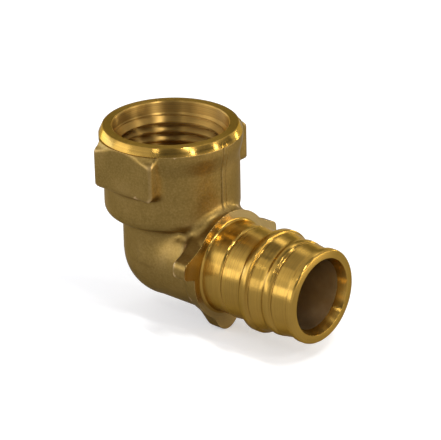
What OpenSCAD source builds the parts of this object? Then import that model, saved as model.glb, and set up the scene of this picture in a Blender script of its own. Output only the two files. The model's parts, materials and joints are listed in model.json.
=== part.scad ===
// Brass elbow that joins a threaded tail to a cross-linked polyethylene pipe.
// One forging: a female threaded socket with two wrench flats points up (+Z),
// and a ribbed spigot for an expanded pipe points along +X, behind a stop flange.
// The origin is the centre of the socket's mouth, on its flat top face.

/* [Socket] */
// Height of the socket's top face above the spigot's axis
socket_height = 24.6; // [24:0.1:34]
// Outer diameter of the flat ring around the mouth
rim_face_d = 25.0; // [23:0.1:25.6]
// Diameter of the rim below its chamfer
rim_d = 26.4; // [26:0.1:27]
// Height of the chamfer around the rim
rim_chamfer_h = 1.5; // [0.5:0.1:2.5]
// Depth of the rim's collar below the top face
collar_depth = 4.0; // [3:0.1:6]
// Radius where the collar runs into the boss
collar_fillet = 0.4; // [0.2:0.05:0.5]
// Diameter of the boss below the collar
boss_d = 25.2; // [24:0.1:25.2]
// Depth of the boss below the top face
boss_depth = 16.9; // [16:0.1:18]
// Radius of the shoulder at the foot of the boss
boss_round = 1.8; // [0.5:0.1:2.6]

/* [Female thread] */
// Diameter of the plain mouth above the thread
mouth_d = 21.3; // [21:0.1:22]
// Depth of the plain mouth
mouth_depth = 2.2; // [1:0.1:4]
// Minor diameter of the half-inch pipe thread
thread_minor_d = 18.63; // [18:0.01:19]
// Depth of the threaded bore below the top face
thread_depth = 14.6; // [10:0.1:15.5]
// Height of the cone that leads from the mouth into the thread
thread_lead_h = 1.3; // [0.3:0.1:1.5]
// Major diameter of the thread, at the bottom of its groove
thread_major_d = 20.96; // [20.4:0.01:20.98]
// Pitch of the thread, 14 turns to the inch
thread_pitch = 1.814; // [1.6:0.001:2]
// Width of the flats on the thread's crest and in its groove
thread_flat = 0.3; // [0.25:0.05:0.5]
// Drop of the first groove's middle below the foot of the mouth
first_groove_drop = 0.55; // [0.3:0.05:1.8]
// Length of the plain bore below the thread
thread_run_out = 1.9; // [1:0.1:3]

/* [Wrench flats] */
// Width across the two flats
flats_across = 27.0; // [26.8:0.1:28]
// Length of each flat
flats_length = 14.0; // [10:0.1:17]
// Depth of the flats' lower edge below the top face
flats_depth = 10.0; // [8:0.1:12]
// Radius of the flats' upright edges
flats_edge_r = 0.8; // [0.3:0.1:1.5]
// Radius of the flats' lower corners
flats_corner_r = 1.5; // [0.5:0.1:2.5]
// Radius where the flats' ends run into the boss
flats_fillet = 1.2; // [0.4:0.1:1.6]
// Slope of the bevel over the flats' upper corners, in degrees
flats_bevel_angle = 38; // [25:1:50]

/* [Neck] */
// Outer diameter of the neck and of its round bend
neck_d = 18.6; // [17:0.1:19.8]
// Diameter of the waterway
waterway_d = 13.0; // [10:0.1:14]
// Radius where the neck runs into the foot of the boss
neck_fillet = 1.4; // [0.3:0.1:1.4]

/* [Stop flange] */
// Distance of the flange's front face from the socket's axis
flange_face_x = 14.1; // [13.8:0.1:18]
// Thickness of the flange
flange_thickness = 3.0; // [1.5:0.1:3]
// Diameter of the flange at its front face
flange_d = 20.2; // [19.6:0.1:21]
// Distance between the tips of the two side ears
side_ear_span = 25.8; // [24:0.1:27]
// Height of the side ears' tips
side_ear_tip = 2.7; // [2:0.1:3.4]
// Height of the side ears' centre above the spigot's axis
side_ear_rise = 2.8; // [1.5:0.1:3.2]
// Slope of the side ears' top edges, in degrees
side_ear_top_slope = 24; // [5:1:24]
// Slope of the side ears' lower edges, in degrees
side_ear_low_slope = 16; // [5:1:30]
// Distance from the spigot's axis to the lower ear's tip
lower_ear_reach = 12.4; // [11.5:0.1:13]
// Width of the lower ear's tip
lower_ear_tip = 3.2; // [2:0.1:4]
// Distance of the lower ear's middle from the part's middle plane
lower_ear_shift = 1.2; // [0:0.1:1.3]
// Radius of the lower ear's corners
lower_ear_corner_r = 1.2; // [0.2:0.1:1.5]
// Angle at which the lower ear's sides spread towards the ring, in degrees
lower_ear_spread = 33; // [10:1:36]
// Radius of the side ears' corners
ear_corner_r = 0.6; // [0.2:0.1:0.9]
// Radius of the fillet between the boss and the flange
crotch_r = 1.4; // [0.5:0.1:2]

/* [Spigot] */
// Diameter of the plain root land
root_land_d = 17.1; // [16.8:0.1:17.4]
// Length of the root land
root_land_l = 4.2; // [3:0.1:4.4]
// Radius where the root land meets the flange
root_fillet = 0.55; // [0.2:0.05:0.8]
// Distance of the first rib's edge from the flange
first_rib_x = 4.9; // [4.8:0.1:6]
// Distance from each rib's edge to the next
rib_pitch = 5.0; // [4.5:0.1:6]
// Diameter of the first rib's edge
first_rib_d = 17.4; // [17:0.1:18]
// Diameter at the foot of the first rib's taper
first_foot_d = 16.7; // [16.2:0.1:17]
// Crest diameter of the second rib, which grips the pipe
grip_rib_d = 19.3; // [18.8:0.1:20]
// Length of the grip rib's flat crest
grip_crest_l = 1.2; // [0.8:0.1:1.6]
// Length of the slope that climbs to the grip rib's edge
grip_climb_l = 1.1; // [0.6:0.1:1.4]
// Diameter of the taper where it starts behind the grip rib
grip_band_d = 18.4; // [17.8:0.1:18.7]
// Diameter at the foot of the grip rib's taper
grip_foot_d = 17.2; // [16.4:0.1:17.6]
// Crest diameter of the third rib
third_rib_d = 17.9; // [17.7:0.1:18.4]
// Length of the third rib's flat crest
third_crest_l = 0.9; // [0.5:0.1:1.3]
// Length of the slope that climbs to the third rib's edge
third_climb_l = 0.8; // [0.4:0.1:1.2]
// Diameter of the taper where it starts behind the third rib
third_band_d = 17.4; // [17:0.1:17.6]
// Diameter at the foot of the third rib's taper
third_foot_d = 16.7; // [16.2:0.1:16.9]
// Diameter of the bead at the spigot's end
bead_d = 17.6; // [17.2:0.1:18]
// Length of the bead
bead_l = 1.3; // [0.8:0.1:2.5]
// Depth of the grooves beside the ribs
groove_depth = 0.35; // [0.1:0.05:0.5]
// Width of the groove beside the grip rib
grip_groove_w = 0.45; // [0.3:0.05:0.8]
// Width of the groove beside the third rib
third_groove_w = 0.7; // [0.3:0.05:0.9]
// Edge break on the spigot's end
end_break = 0.4; // [0.1:0.05:0.6]
// Diameter of the countersink in the spigot's end
countersink_d = 14.4; // [14.1:0.1:15.5]
// Depth of the countersink
countersink_depth = 1.7; // [0.5:0.1:3]

/* [Hidden] */
$fn = 96;
brass = "#b5913f";

boss_r = boss_d/2;
rim_r = rim_d/2;
neck_r = neck_d/2;
flat_y = flats_across/2;
flat_x = flats_length/2;
axis_z = -socket_height;
flange_back_x = flange_face_x - flange_thickness;
first_x = flange_face_x + first_rib_x;
grip_x = first_x + rib_pitch;
third_x = grip_x + rib_pitch;
bead_x = third_x + rib_pitch;
end_x = bead_x + bead_l;
// Overshoot that keeps a cut clear of the face it opens
clear = 1;
// Extra radius of a fillet's hollow, which makes it meet its two walls at a slight angle
bite = 0.06;
// Steps in a rounded corner of an outline
corner_steps = 6;
// Distance inside the bore's wall at which the thread's grooves are first cut
groove_start = 0.12;

// An outline with every corner rounded, each by the radius given as its third value
function rounded(points) = let (n = len(points)) [
    for (i = [0:n - 1])
        let (p = [points[i].x, points[i].y], r = points[i].z,
             before = points[(i + n - 1)%n], after = points[(i + 1)%n],
             u = unit([before.x, before.y] - p), v = unit([after.x, after.y] - p),
             half = acos(u*v)/2, centre = p + unit(u + v)*r/sin(half),
             from = p + u*r/tan(half) - centre, to = p + v*r/tan(half) - centre)
        for (k = [0:corner_steps]) if (r > 0 || k == 0)
            r > 0 ? centre + unit(from*(corner_steps - k) + to*k)*r : p
];
function unit(v) = v/norm(v);

// Rim, collar and boss, turned about the socket's axis
module socket_wall() {
    // The collar stands out from the boss by its lip and foot radii
    lip_r = rim_r - boss_r - collar_fillet;
    // Room under the boss's shoulder limits the fillet at its foot
    foot_r = min(neck_fillet, boss_r - neck_r - boss_round);
    foot_z = -boss_depth - foot_r - clear;
    rotate_extrude() polygon(rounded([[0, foot_z, 0], [neck_r, foot_z, 0],
        [neck_r, -boss_depth, foot_r], [boss_r, -boss_depth, boss_round],
        [boss_r, -collar_depth, collar_fillet], [rim_r, -collar_depth, lip_r],
        [rim_r, -rim_chamfer_h, 0], [rim_face_d/2, 0, 0], [0, 0, 0]]));
}

// The fillet between the end of a flat and the round boss, in plan
module flat_end_fillet() {
    centre = [flat_x + flats_fillet, sqrt((boss_r + flats_fillet)^2 - (flat_x + flats_fillet)^2)];
    touch = centre*boss_r/norm(centre);
    difference() {
        polygon([[flat_x - clear, touch.y - clear], touch, centre, [flat_x - clear, centre.y]]);
        translate(centre) circle(flats_fillet);
    }
}

// A rectangle with rounded corners about the origin
module rounded_plate(half_x, half_y, r) {
    polygon(rounded([[-half_x, -half_y, r], [half_x, -half_y, r],
        [half_x, half_y, r], [-half_x, half_y, r]]));
}

// Block of the wrench flats, rounded on its upright edges and its lower corners
module flats_block() {
    // Both upright outlines are tall enough to leave the block's top alone
    tall = flats_depth + flats_corner_r;
    intersection() {
        translate([0, 0, -flats_depth]) linear_extrude(flats_depth)
            rounded_plate(flat_x, flat_y, flats_edge_r);
        translate([0, flat_y, tall - flats_depth]) rotate([90, 0, 0]) linear_extrude(flats_across)
            rounded_plate(flat_x, tall, flats_corner_r);
        translate([-flat_x, 0, tall - flats_depth]) rotate([90, 0, 90]) linear_extrude(flats_length)
            rounded_plate(flat_y, tall, flats_edge_r);
    }
}

// Two wrench flats on a block that stands out from the collar and boss
module wrench_flats() {
    bevel_drop = tan(flats_bevel_angle);
    reach = norm([flat_x, flat_y]);
    fillet_low = -flats_depth + flats_corner_r/2;
    intersection() {
        union() {
            flats_block();
            for (mx = [0, 1], my = [0, 1]) mirror([mx, 0, 0]) mirror([0, my, 0])
                translate([0, 0, fillet_low]) linear_extrude(-fillet_low) flat_end_fillet();
        }
        rotate_extrude() polygon([[0, -flats_depth - clear], [reach, -flats_depth - clear],
            [reach, -rim_chamfer_h - (reach - rim_r)*bevel_drop], [rim_r, -rim_chamfer_h],
            [0, -rim_chamfer_h]]);
    }
}

// Everything below is laid out about the spigot's axis, which runs along Z here
module along_spigot() {
    translate([0, 0, axis_z]) rotate([0, 90, 0]) rotate([0, 0, 90]) children();
}

// Upright neck, round bend and level neck up to the flange
module neck() {
    translate([0, 0, axis_z]) {
        cylinder(r = neck_r, h = socket_height - boss_depth);
        sphere(neck_r);
    }
    along_spigot() cylinder(r = neck_r, h = flange_face_x);
}

// The point nearest the origin on the line through p that slopes by the angle given
function foot(p, angle) = let (normal = [sin(angle), cos(angle)]) normal*(p*normal);

// One side ear: its sloping edges run on inside the ring from an upright tip
module side_ear() {
    low = [side_ear_span/2, side_ear_rise - side_ear_tip/2];
    high = [side_ear_span/2, side_ear_rise + side_ear_tip/2];
    polygon(rounded([concat(foot(low, 180 - side_ear_low_slope), 0), concat(low, ear_corner_r),
        concat(high, ear_corner_r), concat(foot(high, side_ear_top_slope), 0)]));
}

// The lower ear, whose sides spread towards the ring from a tip that sits to one side
module lower_ear() {
    left = [-lower_ear_tip/2 - lower_ear_shift, -lower_ear_reach];
    right = [lower_ear_tip/2 - lower_ear_shift, -lower_ear_reach];
    polygon(rounded([concat(foot(left, -90 - lower_ear_spread), 0), concat(left, lower_ear_corner_r),
        concat(right, lower_ear_corner_r), concat(foot(right, 90 + lower_ear_spread), 0)]));
}

// The ring and its three ears, which stop the pipe and its ring
module stop_flange() {
    along_spigot() translate([0, 0, flange_back_x]) {
        cylinder(r1 = neck_r, r2 = flange_d/2, h = flange_thickness);
        linear_extrude(flange_thickness) {
            for (m = [0, 1]) mirror([m, 0, 0]) side_ear();
            lower_ear();
        }
    }
}

// Fillet in the corner between the boss and the flange. A ball that rolls in that
// corner follows nearly an arc, so the fillet's hollow is part of a ring.
module crotch_fillet() {
    wall = boss_r + crotch_r;
    ring = flange_d/2 + crotch_r;
    aside = ring/2;
    fall = [wall - sqrt(wall^2 - aside^2), ring - sqrt(ring^2 - aside^2)];
    tilt = atan2(fall.y, fall.x);
    path_r = (aside^2 + fall*fall)/(2*norm(fall));
    difference() {
        intersection() {
            translate([0, 0, axis_z]) cylinder(r = wall, h = ring);
            along_spigot() translate([0, 0, flange_back_x]) cylinder(r = ring, h = flange_thickness);
        }
        translate([wall, 0, axis_z + ring]) rotate([0, -tilt, 0]) translate([-path_r, 0, 0])
            rotate_extrude() translate([path_r, 0]) circle(crotch_r + bite);
    }
}

// Outline of one rib: its climb, its flat crest and the groove at the start of its taper
function rib(edge_x, climb_l, foot_d, crest_d, crest_l, groove_w, band_d) =
    let (crest_end = edge_x + crest_l, groove_end = crest_end + groove_w)
    [[edge_x - climb_l, foot_d/2], [edge_x, crest_d/2], [crest_end, crest_d/2],
        [crest_end, band_d/2 - groove_depth], [groove_end, band_d/2 - groove_depth],
        [groove_end, band_d/2]];

// Ribbed spigot for the expanded pipe, turned about its own axis
module spigot() {
    root_r = root_land_d/2;
    root_end_x = flange_face_x + root_land_l;
    profile = concat(
        [[flange_back_x, 0], [flange_back_x, root_r], [flange_face_x, root_r + root_fillet]],
        [for (k = [1:corner_steps]) let (a = 90*k/corner_steps)
            [flange_face_x + root_fillet*(1 - cos(a)), root_r + root_fillet*(1 - sin(a))]],
        [[root_end_x, root_r], [root_end_x, root_r - groove_depth], [first_x, root_r - groove_depth],
            [first_x, first_rib_d/2]],
        rib(grip_x, grip_climb_l, first_foot_d, grip_rib_d, grip_crest_l, grip_groove_w, grip_band_d),
        rib(third_x, third_climb_l, grip_foot_d, third_rib_d, third_crest_l, third_groove_w, third_band_d),
        [[bead_x, third_foot_d/2], [bead_x, bead_d/2], [end_x - end_break, bead_d/2],
            [end_x, (bead_d - end_break)/2], [end_x, 0]]
    );
    along_spigot() rotate_extrude() polygon([for (p = profile) [p.y, p.x]]);
}

// The thread's turns, as rings of its section at its pitch. They have no lead, so that the
// bore's wall between them stays round.
module thread_rings() {
    inner_r = thread_minor_d/2 - groove_start;
    outer_r = thread_major_d/2;
    flank = (thread_pitch/2 - thread_flat)/(outer_r - thread_minor_d/2);
    outer_half = thread_flat/2;
    inner_half = outer_half + (outer_r - inner_r)*flank;
    first = mouth_depth + first_groove_drop;
    last = thread_depth - thread_run_out - thread_pitch/2;
    for (depth = [first:thread_pitch:last]) translate([0, 0, -depth])
        rotate_extrude() polygon([[inner_r, -inner_half], [outer_r, -outer_half],
            [outer_r, outer_half], [inner_r, inner_half]]);
}

// Plain mouth, thread bore and the waterway that turns the corner
module bores() {
    translate([0, 0, -mouth_depth]) cylinder(d = mouth_d, h = mouth_depth + clear);
    translate([0, 0, -mouth_depth - thread_lead_h])
        cylinder(d1 = thread_minor_d, d2 = mouth_d, h = thread_lead_h);
    translate([0, 0, -thread_depth]) cylinder(d = thread_minor_d, h = thread_depth);
    thread_rings();
    translate([0, 0, axis_z]) {
        cylinder(d = waterway_d, h = socket_height);
        sphere(d = waterway_d);
    }
    along_spigot() {
        cylinder(d = waterway_d, h = end_x + clear);
        translate([0, 0, end_x - countersink_depth])
            cylinder(d1 = waterway_d, d2 = countersink_d, h = countersink_depth);
        translate([0, 0, end_x]) cylinder(d = countersink_d, h = clear);
    }
}

module elbow_body() {
    color(brass) difference() {
        union() {
            socket_wall();
            wrench_flats();
            neck();
            stop_flange();
            crotch_fillet();
            spigot();
        }
        bores();
    }
}

elbow_body();
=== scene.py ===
"""Looks of a brass elbow: forged skin, turned faces, pipe thread, studio and camera."""
import json
import math
import bmesh
import bpy
import numpy as np
from mathutils import Matrix, Vector


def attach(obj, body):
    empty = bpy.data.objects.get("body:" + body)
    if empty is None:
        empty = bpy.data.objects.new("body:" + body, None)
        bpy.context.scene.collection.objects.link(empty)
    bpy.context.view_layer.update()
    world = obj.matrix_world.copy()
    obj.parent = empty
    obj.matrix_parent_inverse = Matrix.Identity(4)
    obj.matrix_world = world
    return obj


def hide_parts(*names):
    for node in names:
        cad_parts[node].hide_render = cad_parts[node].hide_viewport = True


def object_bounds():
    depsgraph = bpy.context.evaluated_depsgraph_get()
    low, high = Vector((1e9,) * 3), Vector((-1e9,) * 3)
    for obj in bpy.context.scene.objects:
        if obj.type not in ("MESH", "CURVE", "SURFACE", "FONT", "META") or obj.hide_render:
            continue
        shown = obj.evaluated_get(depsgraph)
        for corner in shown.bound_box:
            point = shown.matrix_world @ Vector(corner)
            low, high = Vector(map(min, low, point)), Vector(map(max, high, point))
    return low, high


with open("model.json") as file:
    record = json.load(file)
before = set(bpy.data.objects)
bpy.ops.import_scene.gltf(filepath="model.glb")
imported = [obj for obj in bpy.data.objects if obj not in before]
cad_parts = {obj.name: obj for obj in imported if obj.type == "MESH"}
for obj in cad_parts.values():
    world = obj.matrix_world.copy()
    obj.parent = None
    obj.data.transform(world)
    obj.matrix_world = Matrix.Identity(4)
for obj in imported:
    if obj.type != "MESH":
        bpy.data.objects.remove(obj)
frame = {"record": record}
cad_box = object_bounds()

# Sizes taken from the frame. All sizes are in millimetres, in the frame of the CAD part

MM = 0.001
MOUNTS = {mount["name"]: mount for mount in frame["record"]["mounts"]}


def in_mm(metres):
    """Millimetres, without the stray last digits of single precision."""
    return round(metres/MM, 3)


LOW, HIGH = ([in_mm(v) for v in corner] for corner in cad_box)
AXIS_Z = in_mm(MOUNTS["spigot_bore"]["pos_m"][2])       # height of the spigot's axis
FLANGE_FACE = in_mm(MOUNTS["stop_face"]["pos_m"][0])    # front of the stop flange
WATERWAY_R = MOUNTS["spigot_bore"]["dims"]["r_mm"]
MOUTH_R = MOUNTS["socket_mouth"]["dims"]["r_mm"]
MOUTH_DEPTH = MOUNTS["socket_mouth"]["dims"]["length_mm"]
THREAD_MINOR_R = MOUNTS["socket_thread"]["dims"]["r_mm"]
RIM_R = -LOW[0]          # rim below its chamfer
FLAT_Y = HIGH[1]         # half the width across the flats
END_X = HIGH[0]          # the spigot's end face

# Socket, with heights from its top face
RIM_FACE_R = 12.5        # flat ring around the mouth
RIM_CHAMFER = 1.5
COLLAR_EDGE = -3.5       # height at which the collar's underside starts to slope in
COLLAR_LEAN = 30         # its slope, in degrees from upright
COLLAR_ROUND = 0.5
COLLAR_FILLET = 0.8
BOSS_R = 12.6
BOSS_LOW = -16.9
BOSS_ROUND = 1.8
STOCK_TOP = 1.0          # forged stock above the rim, which turning takes off

# Wrench flats
FLAT_X = 7.0             # half the length of a flat
FLAT_LOW = -10.0
FLAT_BEVEL = 38          # slope of the turned bevel over their upper corners, in degrees
FLAT_EDGE_R = 0.7
FLAT_CORNER_R = 1.4      # radius of their lower corners
FLAT_FILLET = 1.1
BEVEL_EDGE_R = 0.3
SLIGHT_R = 0.05          # radius of an edge that looks sharp

# Neck
BEND_R = 9.3
UPRIGHT_NECK_R = 9.35
LEVEL_NECK_R = 9.2
NECK_FILLET = 2.0        # under the boss's shoulder
BEND_FILLET = 0.8        # between the two legs of the neck

# Stop flange, with heights from the spigot's axis and slopes in degrees
FLANGE_BACK = 11.1
FLANGE_BACK_R = 9.4
FLANGE_FACE_R = 10.2
FLANGE_EDGE_R = 0.25
FLANGE_FILLET = 0.7
CROTCH_FILLET = 2.5      # between the flange and the foot of the boss
CROTCH_FROM, CROTCH_TO = 0.5, 4.5    # heights between which one fillet turns into the other
SIDE_EAR_REACH = 12.9    # from the middle plane to a side ear's tip
SIDE_EAR_TOP = 4.15      # height of its tip's upper corner
SIDE_EAR_FOOT = 1.45     # height of its tip's lower corner
SIDE_EAR_TOP_SLOPE = 24
SIDE_EAR_LOW_SLOPE = 16
SIDE_EAR_TIP_R = 0.8
EAR_EDGE_R = 0.45
EAR_ROOT_R = 0.3
LOWER_EAR_REACH = round(AXIS_Z - LOW[2], 3)
LOWER_EAR_Y = -1.2       # middle of the lower ear
LOWER_EAR_TIP = 3.2      # width of its tip
LOWER_EAR_SPREAD = 33
LOWER_EAR_CORNER_R = 1.3
STOCK_FACE = 1.1         # forged stock in front of the flange, which turning takes off

# Parting line, where the flash was trimmed
PARTING_HALF = 0.40
PARTING_RISE = 0.12
PARTING_EDGE = 0.1       # width over which the ridge falls away
NICK_DEPTH = 0.14        # nick that trimming leaves on each side of the ridge
NICK_AT = 0.2            # from the ridge's edge to the nick's middle
NICK_FLOOR, NICK_HALF = 0.02, 0.16

# Female thread, with depths from the top face
THREAD_MAJOR_R = 10.478
THREAD_PITCH = 1.814
THREAD_DEPTH = 14.6
THREAD_FLAT = 0.302      # width of the flats on the crest and in the groove
THREAD_RUN_OUT = 1.9
THREAD_FADE = 1.3        # length over which the last turn fades out
CREST_DEPTH = 3.64       # depth of the first full crest at CREST_TURN
CREST_TURN = math.radians(131.3)

# Spigot
ROOT_R = 8.55
ROOT_FILLET = 0.55
FIRST_RIB_X = FLANGE_FACE + 4.9
RIB_PITCH = 5.0          # from each rib's edge to the next, and to the end bead
COUNTERSINK_R = 7.2
COUNTERSINK_DEPTH = 1.75


def srgb(red, green, blue):
    """Linear colour, with alpha, of a display colour given from 0 to 255."""
    part = [(c/255/12.92 if c <= 10 else ((c/255 + 0.055)/1.055)**2.4) for c in (red, green, blue)]
    return (*part, 1.0)


# Signed distances, negative inside, from which the forged skin is made

def length(*parts):
    return np.sqrt(sum(p*p for p in parts))


def join(a, b, radius):
    """Union of two forms, with a fillet of that radius between them."""
    corner = length(np.maximum(radius - a, 0), np.maximum(radius - b, 0))
    return np.maximum(radius, np.minimum(a, b)) - corner


def common(a, b, radius):
    """What two forms share, with its edge rounded to that radius."""
    return -join(-a, -b, radius)


def disc(across, along, radius, low, high, edge):
    """Cylinder from its distance across and along an axis, with rounded rims."""
    dx = across - (radius - edge)
    dy = np.abs(along - (low + high)/2) - ((high - low)/2 - edge)
    return np.minimum(np.maximum(dx, dy), 0) + length(np.maximum(dx, 0), np.maximum(dy, 0)) - edge


def block(x, y, z, half, edge):
    """Box about the origin, with rounded edges."""
    parts = [np.abs(v) - (h - edge) for v, h in zip((x, y, z), half)]
    inside = np.minimum(np.maximum.reduce(parts), 0)
    return inside + length(*[np.maximum(p, 0) for p in parts]) - edge


def slope(a, b, at_a, at_b, degrees):
    """Distance above a line through a point, whose normal turns by degrees from the a axis."""
    turn = math.radians(degrees)
    return (a - at_a)*math.cos(turn) + (b - at_b)*math.sin(turn)


def ease(value, low, high):
    """Smooth step from nought at low to one at high."""
    t = np.clip((value - low)/(high - low), 0, 1)
    return t*t*(3 - 2*t)


def ears(x, y, z):
    """The stop flange's two side ears and its lower ear."""
    side = np.abs(y)
    front = FLANGE_FACE + STOCK_FACE
    thick = np.abs(x - (FLANGE_BACK + front)/2) - (front - FLANGE_BACK)/2
    upper = slope(side, z, SIDE_EAR_REACH, SIDE_EAR_TOP, 90 - SIDE_EAR_TOP_SLOPE)
    lower = slope(side, z, SIDE_EAR_REACH, SIDE_EAR_FOOT, SIDE_EAR_LOW_SLOPE - 90)
    outline = common(np.maximum(upper, lower), side - SIDE_EAR_REACH, SIDE_EAR_TIP_R)
    side_ear = common(outline, thick, EAR_EDGE_R)
    flank = slope(np.abs(y - LOWER_EAR_Y), z, LOWER_EAR_TIP/2, -LOWER_EAR_REACH, -LOWER_EAR_SPREAD)
    inside_ring = -5
    outline = common(np.maximum(flank, z - inside_ring), -z - LOWER_EAR_REACH, LOWER_EAR_CORNER_R)
    return np.minimum(side_ear, common(outline, thick, EAR_EDGE_R))


def parting_line(y):
    """Height of the trimmed flash line, which has a nick on each side of its ridge."""
    aside = np.abs(y) - PARTING_HALF
    ridge = PARTING_RISE*(1 - ease(aside, 0, PARTING_EDGE))
    return ridge - NICK_DEPTH*(1 - ease(np.abs(aside - NICK_AT), NICK_FLOOR, NICK_HALF))


def forged_skin(points):
    """Distance to the forged form before it is turned. Here z is from the spigot's axis."""
    x, y, z = points[..., 0], points[..., 1], points[..., 2] - AXIS_Z
    up = -AXIS_Z
    past = 2
    top = up + STOCK_TOP + past
    front = FLANGE_FACE + STOCK_FACE
    around_z = length(x, y)
    around_x = length(y, z)

    # Boss, neck and bend. The rims with no radius lie inside the form or are turned off
    no_radius = 0.01
    boss = disc(around_z, z, BOSS_R, up + BOSS_LOW, top, BOSS_ROUND)
    upright = disc(around_z, z, UPRIGHT_NECK_R, 0, top, no_radius)
    level = disc(around_x, x, LEVEL_NECK_R, 0, front + past, no_radius)
    bend = length(x, y, z) - BEND_R
    skin = join(boss, np.minimum(join(upright, level, BEND_FILLET), bend), NECK_FILLET)

    # Collar, whose low rim lies inside the boss
    underside = slope(around_z, z, RIM_R, up + COLLAR_EDGE, -COLLAR_LEAN)
    collar = disc(around_z, z, RIM_R, up + COLLAR_EDGE - 3, top, no_radius)
    skin = join(skin, common(collar, underside, COLLAR_ROUND), COLLAR_FILLET)

    # Wrench flats
    middle = (up + FLAT_LOW + top)/2
    high = top - middle
    flats = block(x, y, z - middle, (FLAT_X, FLAT_Y, high), FLAT_EDGE_R)
    corners = block(x, y, z - middle, (FLAT_X, FLAT_Y*2, high), FLAT_CORNER_R)
    bevel = slope(around_z, z, RIM_R, up - RIM_CHAMFER, 90 - FLAT_BEVEL)
    flats = common(common(flats, corners, SLIGHT_R), bevel, BEVEL_EDGE_R)
    skin = np.maximum(join(skin, flats, FLAT_FILLET), np.abs(y) - FLAT_Y)
    skin = np.maximum(skin - parting_line(y), -x - RIM_R)

    # Stop flange, whose fillet grows towards the boss
    grow = (FLANGE_FACE_R - FLANGE_BACK_R)/(FLANGE_FACE - FLANGE_BACK)
    cone = around_x - (FLANGE_BACK_R + (x - FLANGE_BACK)*grow)
    half_cone = 6
    cone_ends = np.abs(x - (FLANGE_BACK + half_cone)) - half_cone
    flange = join(common(cone, cone_ends, FLANGE_EDGE_R), ears(x, y, z), EAR_ROOT_R)
    fillet = FLANGE_FILLET + (CROTCH_FILLET - FLANGE_FILLET)*ease(z, CROTCH_FROM, CROTCH_TO)
    skin = join(skin, flange, fillet)
    skin = np.maximum(skin, z - (up + STOCK_TOP))
    return np.maximum(skin, x - front)


def surface_net(field, axes):
    """Closed quad mesh of a field's zero surface over a grid, as points and quads of their numbers."""
    counts = [len(a) for a in axes]
    values = field(np.stack(np.meshgrid(*axes, indexing="ij"), -1))
    inside = values < 0
    cells = tuple(n - 1 for n in counts)
    total = np.zeros(cells + (3,))
    hits = np.zeros(cells)
    edges = []
    # A grid edge that crosses the surface gives its crossing to the four cells around it
    for axis in range(3):
        near = [slice(None)]*3
        far = [slice(None)]*3
        near[axis] = slice(0, -1)
        far[axis] = slice(1, None)
        a, b = values[tuple(near)], values[tuple(far)]
        crossing = inside[tuple(near)] != inside[tuple(far)]
        index = np.argwhere(crossing)
        others = [k for k in range(3) if k != axis]
        aside = index[:, others]
        index = index[np.all((aside > 0) & (aside < [counts[k] - 1 for k in others]), axis=1)]
        at = tuple(index.T)
        share = a[at]/(a[at] - b[at])
        place = index.astype(float)
        place[:, axis] += share
        for first in (0, 1):
            for second in (0, 1):
                cell = index.copy()
                cell[:, others[0]] -= first
                cell[:, others[1]] -= second
                np.add.at(total, tuple(cell.T), place)
                np.add.at(hits, tuple(cell.T), 1)
        edges.append((axis, others, index, inside[tuple(near)][at]))
    # A cell that was crossed holds one point, the middle of its crossings
    number = np.full(cells, -1)
    used = np.argwhere(hits > 0)
    number[tuple(used.T)] = np.arange(len(used))
    middle = total[tuple(used.T)]/hits[tuple(used.T)][:, None]
    points = np.stack([np.interp(middle[:, k], np.arange(counts[k]), axes[k]) for k in range(3)], -1)
    # Each of those grid edges becomes a quad between the points of its four cells
    quads = []
    for axis, others, index, start_inside in edges:
        corner = []
        for first, second in ((0, 0), (1, 0), (1, 1), (0, 1)):
            cell = index.copy()
            cell[:, others[0]] -= first
            cell[:, others[1]] -= second
            corner.append(number[tuple(cell.T)])
        quad = np.stack(corner, -1)
        # The middle axis runs the other way round in its plane
        turn = start_inside if axis != 1 else ~start_inside
        quads.append(np.where(turn[:, None], quad, quad[:, ::-1]))
    return points, np.concatenate(quads)


def settle(field, points, steps, most):
    """Moves the points of a net onto the field's true surface, by no more than most in a step."""
    tiny = 0.02
    least_steep = 0.2
    for _ in range(steps):
        value = field(points)
        rise = np.stack([field(points + tiny*e) - field(points - tiny*e) for e in np.eye(3)], -1)/(2*tiny)
        move = rise*(value/np.maximum((rise**2).sum(-1), least_steep))[:, None]
        size = np.linalg.norm(move, axis=1)
        points = points - move*np.minimum(1, most/np.maximum(size, 1e-9))[:, None]
    return points


# Meshes and how they are cut

def new_mesh(name, points, faces, material):
    """Blender object from points in millimetres, all its faces in one material."""
    mesh = bpy.data.meshes.new(name)
    mesh.from_pydata((np.asarray(points)*MM).tolist(), [], [list(map(int, f)) for f in faces])
    mesh.materials.append(material)
    mesh.update()
    piece = bpy.data.objects.new(name, mesh)
    bpy.context.scene.collection.objects.link(piece)
    return piece


def turned(name, profile, axis, material, segments=192):
    """Closed solid of revolution from (along, radius) points.

    It turns about the socket's axis, Z, or about the spigot's, X.
    """
    points = []
    rings = []
    for along, radius in profile:
        if radius < 1e-6:
            rings.append([len(points)])
            points.append((0, 0, along))
        else:
            rings.append(list(range(len(points), len(points) + segments)))
            turn = 2*math.pi*np.arange(segments)/segments
            points += [(radius*math.cos(t), radius*math.sin(t), along) for t in turn]
    faces = []
    for low, high in zip(rings[:-1], rings[1:]):
        for k in range(segments):
            j = (k + 1) % segments
            if len(low) == 1:
                faces.append((low[0], high[j], high[k]))
            elif len(high) == 1:
                faces.append((low[k], low[j], high[0]))
            else:
                faces.append((low[k], low[j], high[j], high[k]))
    points = np.array(points, float)
    if axis == "X":
        points = np.stack([points[:, 2], points[:, 0], points[:, 1] + AXIS_Z], -1)
    return new_mesh(name, points, faces, material)


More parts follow.
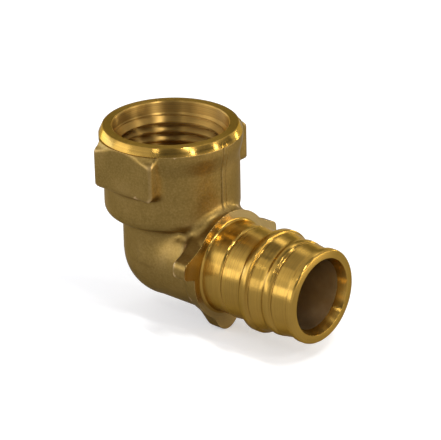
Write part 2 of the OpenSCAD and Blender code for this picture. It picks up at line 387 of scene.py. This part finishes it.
def combine(piece, tool, operation):
    """Boolean of two closed pieces. The faces keep the material of the piece they come from."""
    step = piece.modifiers.new("combine", "BOOLEAN")
    step.operation = operation
    step.object = tool
    step.solver = "MANIFOLD"
    step.material_mode = "TRANSFER"
    bpy.context.view_layer.update()
    graph = bpy.context.evaluated_depsgraph_get()
    mesh = bpy.data.meshes.new_from_object(piece.evaluated_get(graph))
    piece.modifiers.clear()
    old = piece.data
    piece.data = mesh
    bpy.data.meshes.remove(old)
    bpy.data.objects.remove(tool)
    return piece


def dissolve_short_edges(piece, shortest):
    """Takes out the tiny edges that the cuts leave, with the mesh still closed."""
    mesh = bmesh.new()
    mesh.from_mesh(piece.data)
    bmesh.ops.dissolve_degenerate(mesh, dist=shortest*MM, edges=mesh.edges)
    mesh.to_mesh(piece.data)
    mesh.free()


# Materials. Scales of noise are per metre, and the depths of bumps are in metres

def node_material(name):
    """New material, its node tree and its shader."""
    material = bpy.data.materials.new(name)
    material.use_nodes = True
    tree = material.node_tree
    return material, tree, tree.nodes["Principled BSDF"]


def add(tree, kind, **settings):
    """New node, with its settings and with plain values for its named or numbered sockets."""
    node = tree.nodes.new(kind)
    for key, value in settings.items():
        if key.startswith("in_"):
            place = key[3:]
            place = int(place) if place.isdigit() else place.replace("_", " ")
            node.inputs[place].default_value = value
        else:
            setattr(node, key, value)
    return node


def noise(tree, vector, scale, detail=3.0, roughness=0.5):
    node = add(tree, "ShaderNodeTexNoise", in_Scale=scale, in_Detail=detail, in_Roughness=roughness)
    tree.links.new(vector, node.inputs["Vector"])
    return node.outputs["Fac"]


def remap(tree, value, from_low, from_high, to_low, to_high):
    node = add(tree, "ShaderNodeMapRange", in_From_Min=from_low, in_From_Max=from_high,
               in_To_Min=to_low, in_To_Max=to_high)
    tree.links.new(value, node.inputs["Value"])
    return node.outputs["Result"]


def ramp(tree, value, stops):
    node = add(tree, "ShaderNodeValToRGB")
    while len(node.color_ramp.elements) < len(stops):
        node.color_ramp.elements.new(0.5)
    for element, (place, colour) in zip(node.color_ramp.elements, stops):
        element.position = place
        element.color = colour
    tree.links.new(value, node.inputs["Fac"])
    return node.outputs["Color"]


def math_node(tree, operation, first, second=None):
    node = add(tree, "ShaderNodeMath", operation=operation)
    for place, value in ((0, first), (1, second)):
        if value is None:
            continue
        if isinstance(value, (int, float)):
            node.inputs[place].default_value = value
        else:
            tree.links.new(value, node.inputs[place])
    return node.outputs["Value"]


def bump(tree, height, strength, distance, before=None):
    """Normal of a relief, laid over the normal that comes before it, if any."""
    node = add(tree, "ShaderNodeBump", in_Strength=strength, in_Distance=distance)
    tree.links.new(height, node.inputs["Height"])
    if before is not None:
        tree.links.new(before, node.inputs["Normal"])
    return node.outputs["Normal"]


def blend_colour(tree, amount, first, second):
    node = add(tree, "ShaderNodeMix", data_type="RGBA")
    for socket, value in (("Factor", amount), ("A", first), ("B", second)):
        if hasattr(value, "is_linked"):
            tree.links.new(value, node.inputs[socket])
        else:
            node.inputs[socket].default_value = value
    return node.outputs["Result"]


def seen_rays(tree):
    """One for rays from the camera, a reflection or a glass, and nought for those that light things."""
    path = add(tree, "ShaderNodeLightPath")
    seen = math_node(tree, "ADD", path.outputs["Is Camera Ray"], path.outputs["Is Glossy Ray"])
    seen = math_node(tree, "ADD", seen, path.outputs["Is Transmission Ray"])
    return math_node(tree, "MINIMUM", seen, 1.0)


def soft_edges(tree, radius):
    """Normal that rounds the sharp edges a little, so that they catch the light."""
    return add(tree, "ShaderNodeBevel", samples=4, in_Radius=radius).outputs["Normal"]


def axes_of(tree, place):
    """The three parts of a place."""
    split = add(tree, "ShaderNodeSeparateXYZ")
    tree.links.new(place, split.inputs["Vector"])
    return [split.outputs[k] for k in "XYZ"]


def in_plane(tree, first, second):
    """Place made of two values, with nought as its third part."""
    place = add(tree, "ShaderNodeCombineXYZ")
    tree.links.new(first, place.inputs["X"])
    tree.links.new(second, place.inputs["Y"])
    return place.outputs["Vector"]


def forged_brass():
    """Shot-blasted forged skin: a fine dull grain over a slightly uneven brown-olive brass."""
    material, tree, shader = node_material("forged_brass")
    place = add(tree, "ShaderNodeTexCoord").outputs["Object"]
    cloudy = noise(tree, place, 130, 4, 0.6)
    dents = noise(tree, place, 320, 2, 0.5)
    grain = noise(tree, place, 2600, 3, 0.6)
    pits = noise(tree, place, 1100, 2, 0.5)
    middle = srgb(138, 112, 60)
    base = ramp(tree, cloudy, [(0.3, srgb(126, 102, 52)), (0.5, middle), (0.72, srgb(148, 122, 72))])
    speck = ramp(tree, grain, [(0.35, srgb(112, 90, 44)), (0.5, middle), (0.68, srgb(166, 138, 84))])
    colour = blend_colour(tree, 0.3, base, speck)
    # Sharp edges turn pale pink: partly real wear, partly a painted highlight
    edge = add(tree, "ShaderNodeNewGeometry").outputs["Pointiness"]
    wear_and_highlight = remap(tree, edge, 0.52, 0.59, 0.0, 0.75)
    colour = blend_colour(tree, wear_and_highlight, colour, srgb(214, 182, 134))
    tree.links.new(colour, shader.inputs["Base Color"])
    tree.links.new(remap(tree, cloudy, 0.3, 0.7, 0.34, 0.48), shader.inputs["Roughness"])
    shader.inputs["Metallic"].default_value = 1.0
    shader.inputs["Specular Tint"].default_value = srgb(232, 216, 190)
    normal = bump(tree, dents, 0.25, 0.00020, soft_edges(tree, 0.00015))
    normal = bump(tree, pits, 0.22, 0.00010, normal)
    normal = bump(tree, grain, 0.26, 0.00004, normal)
    tree.links.new(normal, shader.inputs["Normal"])
    return material


def turned_brass(name, axis, colour=(172, 136, 64), roughness=(0.19, 0.28), spread=0.8):
    """Machined brass with fine lathe lines around the socket's or the spigot's axis."""
    material, tree, shader = node_material(name)
    place = add(tree, "ShaderNodeTexCoord").outputs["Object"]
    x, y, z = axes_of(tree, place)
    if axis == "X":
        centre, direction = (0, 0, AXIS_Z*MM), (1, 0, 0)
        z = math_node(tree, "SUBTRACT", z, AXIS_Z*MM)
        along, first, second = x, y, z
    else:
        centre, direction = (0, 0, 0), (0, 0, 1)
        along, first, second = z, x, y
    squares = math_node(tree, "ADD", math_node(tree, "POWER", first, 2), math_node(tree, "POWER", second, 2))
    lines_at = in_plane(tree, along, math_node(tree, "SQRT", squares))
    lines = noise(tree, lines_at, 5200, 4, 0.7)
    broad = noise(tree, lines_at, 900, 2, 0.5)
    cloudy = noise(tree, place, 160, 3, 0.6)

    def shade(share):
        return srgb(*(c*share for c in colour))

    base = ramp(tree, cloudy, [(0.3, shade(0.92)), (0.55, shade(1.0)), (0.75, shade(1.06))])
    streak = ramp(tree, lines, [(0.3, shade(0.72)), (0.5, shade(0.99)), (0.7, shade(1.21))])
    tree.links.new(blend_colour(tree, 0.3, base, streak), shader.inputs["Base Color"])
    tree.links.new(remap(tree, broad, 0.3, 0.7, *roughness), shader.inputs["Roughness"])
    shader.inputs["Metallic"].default_value = 1.0
    shader.inputs["Anisotropic"].default_value = spread
    # A quarter turn: the lines spread light across themselves, not along
    shader.inputs["Anisotropic Rotation"].default_value = 0.25
    shader.inputs["Specular Tint"].default_value = srgb(236, 216, 176)
    off_axis = add(tree, "ShaderNodeVectorMath", operation="SUBTRACT", in_1=centre)
    tree.links.new(place, off_axis.inputs[0])
    around = add(tree, "ShaderNodeVectorMath", operation="CROSS_PRODUCT", in_0=direction)
    tree.links.new(off_axis.outputs["Vector"], around.inputs[1])
    tree.links.new(around.outputs["Vector"], shader.inputs["Tangent"])
    normal = bump(tree, lines, 0.25, 0.00002, soft_edges(tree, 0.00010))
    normal = bump(tree, broad, 0.18, 0.00005, normal)
    tree.links.new(normal, shader.inputs["Normal"])
    return material


def drilled_brass():
    """Inside of the waterway: drilled, duller than the turned faces and seen darker as it lies deep inside.
    Its colour is a paler, greyer brass than theirs: painted light that lifts the bore's inside.
    """
    material, tree, shader = node_material("drilled_brass")
    place = add(tree, "ShaderNodeTexCoord").outputs["Object"]
    x, y, z = axes_of(tree, place)
    rings = noise(tree, in_plane(tree, x, z), 1500, 3, 0.6)
    cloudy = noise(tree, place, 240, 3, 0.6)
    # Pale, greyish tones: painted light that brightens the inside of the bore
    tones = [(0.3, srgb(168, 148, 114)), (0.55, srgb(180, 160, 126)), (0.75, srgb(192, 172, 138))]
    tree.links.new(ramp(tree, cloudy, tones), shader.inputs["Base Color"])
    tree.links.new(remap(tree, rings, 0.3, 0.7, 0.28, 0.42), shader.inputs["Roughness"])
    shader.inputs["Metallic"].default_value = 1.0
    tree.links.new(bump(tree, rings, 0.3, 0.00004), shader.inputs["Normal"])
    return material


FORGED = forged_brass()
TURNED_Z = turned_brass("turned_socket", "Z")
TURNED_X = turned_brass("turned_spigot", "X")
# The flange's front gets a paler, greyer brass: painted light that offsets the orange cast of its reflection
# of the spigot
TURNED_FACE = turned_brass("turned_flange", "X", (198, 168, 108))
# The mouth and thread get a paler, greyer brass than the turned faces: painted light standing in for the
# light their walls throw on one another
BORED = turned_brass("bored_socket", "Z", (190, 152, 82), (0.36, 0.46), 1.0)
DRILLED = drilled_brass()


# The spigot, the thread and the bores

def hollow(start, end, depth):
    """Points (x, radius) of a round-bottomed groove between two points."""
    steps = 12
    points = []
    for k in range(steps + 1):
        share = k/steps
        x, r = (a + (b - a)*share for a, b in zip(start, end))
        points.append((x, r - depth*math.sin(math.pi*share)))
    return points


def spigot_profile():
    """Ribbed spigot as (x, radius) points, from inside the flange to its end face."""
    # The first points lie inside the neck's wall
    inside = [(8.0, 0), (8.0, 8.0), (13.0, 8.6), (FLANGE_FACE - 0.25, ROOT_R + ROOT_FILLET + 0.2)]
    root = [(FLANGE_FACE + ROOT_FILLET*(1 - math.cos(t)), ROOT_R + ROOT_FILLET*(1 - math.sin(t)))
            for t in np.linspace(0, math.pi/2, 7)]
    # Each rib is laid out from its own edge: its climb, its crest, its groove and its taper
    first_rib = hollow((-0.8, ROOT_R), (-0.05, 8.6), 0.3) + [(0.08, 8.7), (3.6, 8.36)]
    grip_rib = [(-1.1, 8.38), (-0.9, 8.5), (-0.15, 9.5), (0.05, 9.63), (1.1, 9.65)]
    grip_rib += hollow((1.2, 9.55), (1.72, 9.15), 0.3) + [(1.8, 9.2), (3.7, 8.73)]
    third_rib = [(-0.8, 8.6), (-0.6, 8.66), (-0.15, 8.91), (0.05, 8.95), (0.85, 8.87)]
    third_rib += hollow((0.95, 8.8), (1.62, 8.62), 0.32) + [(1.72, 8.69), (4.3, 8.32)]
    bead = hollow((-0.4, 8.3), (-0.05, 8.72), 0.12) + [(0.05, 8.8), (0.85, 8.8), (1.0, 8.77), (1.25, 8.6)]
    ribs = [(FIRST_RIB_X + RIB_PITCH*k + x, r)
            for k, rib in enumerate((first_rib, grip_rib, third_rib, bead)) for x, r in rib]
    return inside + root + ribs + [(END_X, 8.5), (END_X, 0)]


def helical_bore(material):
    """Closed tool whose side is the thread: rows of points that follow its crest and groove edges."""
    segments = 180
    flank = THREAD_PITCH/2 - THREAD_FLAT
    edges = [(-THREAD_FLAT/2, THREAD_MINOR_R), (THREAD_FLAT/2, THREAD_MINOR_R),
             (THREAD_FLAT/2 + flank, THREAD_MAJOR_R),
             (THREAD_PITCH - THREAD_FLAT/2 - flank, THREAD_MAJOR_R)]
    per_turn = len(edges)
    first_turn, last_turn = -3, 8
    rows = (last_turn - first_turn)*per_turn + 1
    points = []
    for k in range(segments):
        turn = 2*math.pi*k/segments
        crest = CREST_DEPTH + THREAD_PITCH*(CREST_TURN - turn)/(2*math.pi)
        for row in range(rows):
            whole, part = divmod(row, per_turn)
            aside, radius = edges[part]
            depth = crest + THREAD_PITCH*(first_turn + whole) + aside
            points.append((radius*math.cos(turn), radius*math.sin(turn), -depth))
    top, low = len(points), len(points) + 1
    points += [(0, 0, points[0][2]), (0, 0, points[-1][2])]

    def at(k, row):
        return k*rows + row

    last, end = segments - 1, rows - 1
    faces = [(at(k, row), at(k, row + 1), at(k + 1, row + 1), at(k + 1, row))
             for k in range(last) for row in range(end)]
    faces += [(top, at(k, 0), at(k + 1, 0)) for k in range(last)]
    faces += [(low, at(k + 1, end), at(k, end)) for k in range(last)]
    # At the seam a row meets the row one turn above it, and the ends step by that turn
    faces += [(at(last, row), at(last, row + 1), at(0, row + 1 - per_turn), at(0, row - per_turn))
              for row in range(per_turn, end)]
    faces += [(top, at(last, row), at(last, row + 1)) for row in range(per_turn)]
    faces += [(top, at(last, per_turn), at(0, 0)), (low, at(0, end - per_turn), at(last, end))]
    faces += [(low, at(0, row + 1), at(0, row)) for row in range(end - per_turn, end)]
    bore = new_mesh("thread_tool", points, faces, material)

    # Where the thread may cut: at full depth from inside the mouth, fading out at its foot
    below_crest = 0.01
    foot_r = THREAD_MINOR_R - below_crest
    in_mouth = -1.0
    run_out = THREAD_RUN_OUT - THREAD_DEPTH
    limit = [(-THREAD_DEPTH, 0), (-THREAD_DEPTH, foot_r), (run_out, foot_r),
             (run_out + THREAD_FADE, MOUTH_R), (in_mouth, MOUTH_R), (in_mouth, 0)]
    return combine(bore, turned("thread_limit", limit, "Z", material), "INTERSECT")


def mouth_tool(material):
    """The plain mouth, with its broken edge and the 45 degree cone that leads into the thread."""
    clear = 1
    break_edge = 0.22
    inner_r = THREAD_MINOR_R - 0.2
    foot = -MOUTH_DEPTH - (MOUTH_R - inner_r)
    profile = [(foot, 0), (foot, inner_r), (-MOUTH_DEPTH, MOUTH_R), (-break_edge, MOUTH_R),
               (0, MOUTH_R + break_edge), (clear, MOUTH_R + break_edge), (clear, 0)]
    return turned("mouth_tool", profile, "Z", material)


def rim_tool(material):
    """What turning leaves of the rim: its chamfer, its broken edge and the flat ring."""
    far = 60
    break_height, break_out, break_in = 0.12, 0.06, 0.08
    profile = [(-far, 0), (-far, far), (-RIM_CHAMFER, far), (-RIM_CHAMFER, RIM_R),
               (-break_height, RIM_FACE_R + break_out), (0, RIM_FACE_R - break_in), (0, 0)]
    return turned("rim_tool", profile, "Z", material)


def face_tool(material):
    """What turning takes off the front of the flange."""
    far = 40
    profile = [(FLANGE_FACE, 0), (FLANGE_FACE, far), (FLANGE_FACE + far, far), (FLANGE_FACE + far, 0)]
    return turned("face_tool", profile, "X", material)


def waterway_tools(material, end_material):
    """Upright drilling, level drilling with a round end, and the countersink."""
    clear = 1
    overlap = 0.05
    foot = END_X - COUNTERSINK_DEPTH
    widen = (COUNTERSINK_R - WATERWAY_R)/COUNTERSINK_DEPTH
    into_thread = 0.5 - THREAD_DEPTH
    upright = [(AXIS_Z, 0), (AXIS_Z, WATERWAY_R), (into_thread, WATERWAY_R), (into_thread, 0)]
    level = [(WATERWAY_R*math.cos(t), WATERWAY_R*math.sin(t)) for t in np.linspace(math.pi, math.pi/2, 25)]
    level += [(foot + overlap, WATERWAY_R), (foot + overlap, 0)]
    end = [(foot, 0), (foot, WATERWAY_R), (END_X, COUNTERSINK_R),
           (END_X + clear, COUNTERSINK_R + clear*widen), (END_X + clear, 0)]
    return [turned("upright_drill", upright, "Z", material), turned("level_drill", level, "X", material),
            turned("countersink", end, "X", end_material)]


def grid_axes():
    """Grid for the forged skin, which is finer across the parting line."""
    aside, below, beyond = 1.1, 0.8, 1.0
    low = (-RIM_R - aside, -FLAT_Y - aside, AXIS_Z - LOWER_EAR_REACH - below)
    high = (FLANGE_FACE + STOCK_FACE + beyond, FLAT_Y + aside, STOCK_TOP + beyond)
    step = 0.34
    axes = [np.arange(l, h + step, step) for l, h in zip(low, high)]
    near, fine = PARTING_HALF + 0.5, 0.1
    axes[1] = np.concatenate([axes[1][axes[1] < -near - step/2], np.arange(-near, near + fine/2, fine),
                              axes[1][axes[1] > near + step/2]])
    return axes


def make_body():
    """The whole elbow: the forging, then its cuts and its spigot in the order of the real work."""
    points, quads = surface_net(forged_skin, grid_axes())
    points = settle(forged_skin, points, steps=3, most=0.3)
    body = new_mesh("elbow_dressed", points, quads, FORGED)
    combine(body, rim_tool(TURNED_Z), "INTERSECT")
    combine(body, face_tool(TURNED_FACE), "DIFFERENCE")
    combine(body, turned("spigot_tool", spigot_profile(), "X", TURNED_X), "UNION")
    combine(body, mouth_tool(BORED), "DIFFERENCE")
    combine(body, helical_bore(BORED), "DIFFERENCE")
    for tool in waterway_tools(DRILLED, TURNED_X):
        combine(body, tool, "DIFFERENCE")
    dissolve_short_edges(body, shortest=0.0005)
    body.data.shade_smooth()
    body.data.set_sharp_from_angle(angle=math.radians(32))
    return body


body = make_body()
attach(body, "root")
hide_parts("elbow_body")


# Studio

STUDIO_MIDDLE = Vector((0.008, 0, AXIS_Z*MM*0.6))


def away(azimuth, elevation):
    """Direction away from the object, from angles in degrees."""
    a, e = math.radians(azimuth), math.radians(elevation)
    return Vector((math.cos(e)*math.cos(a), math.cos(e)*math.sin(a), math.sin(e)))


def place_in_studio(name, data, azimuth, elevation, distance):
    """Object of a lamp or a card, which faces the middle of the studio from there."""
    piece = bpy.data.objects.new(name, data)
    bpy.context.scene.collection.objects.link(piece)
    piece.location = STUDIO_MIDDLE + away(azimuth, elevation)*distance
    piece.rotation_euler = (STUDIO_MIDDLE - piece.location).to_track_quat("-Z", "Y").to_euler()
    return piece


def soft_box(name, azimuth, elevation, distance, width, height, radiance, colour=(1, 1, 1)):
    """Area lamp that faces the object, set by the brightness that a mirror would show."""
    lamp = bpy.data.lights.new(name, "AREA")
    lamp.shape = "RECTANGLE"
    lamp.size = width
    lamp.size_y = height
    lamp.energy = radiance*math.pi*width*height
    lamp.color = colour
    place_in_studio(name, lamp, azimuth, elevation, distance)


def rectangle(name, width, height):
    """Flat mesh about its own middle."""
    mesh = bpy.data.meshes.new(name)
    x, y = width/2, height/2
    mesh.from_pydata([(-x, -y, 0), (x, -y, 0), (x, y, 0), (-x, y, 0)], [], [(0, 1, 2, 3)])
    return mesh


def flag(name, azimuth, elevation, distance, width, height, tone=0.16):
    """Dark card that only reflections show, as a studio uses on bright metal."""
    mesh = rectangle(name, width, height)
    material, tree, shader = node_material(name)
    shader.inputs["Base Color"].default_value = (tone, tone, tone, 1)
    shader.inputs["Roughness"].default_value = 1.0
    mesh.materials.append(material)
    piece = place_in_studio(name, mesh, azimuth, elevation, distance)
    piece.visible_camera = False
    piece.visible_diffuse = False
    piece.visible_shadow = False
    return piece


# Each lamp and card: azimuth, elevation, distance, width, height, and its brightness or tone
soft_box("key_left", 223, 21, 0.55, 0.25, 0.34, 1.68, (0.95, 0.97, 1.0))
soft_box("key_low", 249, 11, 0.55, 0.26, 0.17, 2.4, (0.95, 0.97, 1.0))
soft_box("far_back", 106, 55, 0.55, 0.14, 0.12, 2.6)
soft_box("cool_left", 190, 8, 0.50, 0.34, 0.16, 4.8, (0.50, 0.61, 1.0))
soft_box("low_right", 26, 3, 0.50, 0.50, 0.08, 9.0, (1.0, 0.90, 0.68))
soft_box("spot_front", 349, 36, 0.60, 0.04, 0.08, 34.0)
soft_box("spot_right", 31, 27, 0.60, 0.04, 0.08, 26.0)
soft_box("spot_back", 79, 7, 0.60, 0.05, 0.06, 24.0)
soft_box("spot_high", 348, 60, 0.55, 0.03, 0.14, 60.0)
soft_box("spot_left", 281, 48, 0.55, 0.06, 0.06, 13.0)
flag("flag_front", 309, 40, 0.62, 0.60, 0.40)
flag("flag_back", 126, 26, 0.60, 0.42, 0.26, 0.34)
flag("flag_side", 44, 20, 0.64, 0.50, 0.26)
flag("flag_right", 0, 34, 0.66, 0.56, 0.32)
flag("flag_top", 0, 90, 0.60, 0.50, 0.50, 0.24)

# Grey card just over the floor, which reflections show in place of the floor's white
floor_z = cad_box[0][2]
over_floor = 0.00003
card_low = flag("card_low", 0, -90, 0.0222, 0.60, 0.60, 0.62)
card_low.location.z = floor_z + over_floor

world = bpy.data.worlds.new("studio")
bpy.context.scene.world = world
world.use_nodes = True
tree = world.node_tree
background = tree.nodes["Background"]
background.inputs["Color"].default_value = (1, 1, 1, 1)
tree.links.new(remap(tree, seen_rays(tree), 0, 1, 0.55, 1.0), background.inputs["Strength"])

floor_size = 6.0
floor_mesh = rectangle("floor", floor_size, floor_size)
floor = bpy.data.objects.new("floor", floor_mesh)
bpy.context.scene.collection.objects.link(floor)
floor.location.z = floor_z
material, tree, shader = node_material("floor_white")
shader.inputs["Base Color"].default_value = (0.82, 0.82, 0.82, 1)
shader.inputs["Roughness"].default_value = 0.9
glow = add(tree, "ShaderNodeEmission")
total = add(tree, "ShaderNodeAddShader")
tree.links.new(math_node(tree, "MULTIPLY", seen_rays(tree), 0.4), glow.inputs["Strength"])
tree.links.new(shader.outputs["BSDF"], total.inputs[0])
tree.links.new(glow.outputs["Emission"], total.inputs[1])
tree.links.new(total.outputs["Shader"], tree.nodes["Material Output"].inputs["Surface"])
floor_mesh.materials.append(material)

# Camera, worked out from circles and edges in the photograph. Its place is in millimetres
CAM_AZIMUTH = -48.72
CAM_ELEVATION = 24.36
CAM_ROLL = math.radians(-1.15)
CAM_DISTANCE = 441.2
CAM_ASIDE = (8.66, 4.62)
CAM_LENS = 193.2

camera_data = bpy.data.cameras.new("camera")
camera = bpy.data.objects.new("camera", camera_data)
bpy.context.scene.collection.objects.link(camera)
bpy.context.scene.camera = camera
camera_data.sensor_fit = "HORIZONTAL"
camera_data.sensor_width = 36
camera_data.lens = CAM_LENS
back = away(CAM_AZIMUTH, CAM_ELEVATION)
level = (-back).cross(Vector((0, 0, 1))).normalized()
upright = level.cross(-back)
right = level*math.cos(CAM_ROLL) + upright*math.sin(CAM_ROLL)
up = upright*math.cos(CAM_ROLL) - level*math.sin(CAM_ROLL)
place = Vector((0, 0, AXIS_Z)) + back*CAM_DISTANCE + right*CAM_ASIDE[0] + up*CAM_ASIDE[1]
turn = Matrix((right, up, back)).transposed().to_4x4()
camera.matrix_world = Matrix.Translation(place*MM) @ turn

bpy.context.scene.view_settings.view_transform = "Standard"
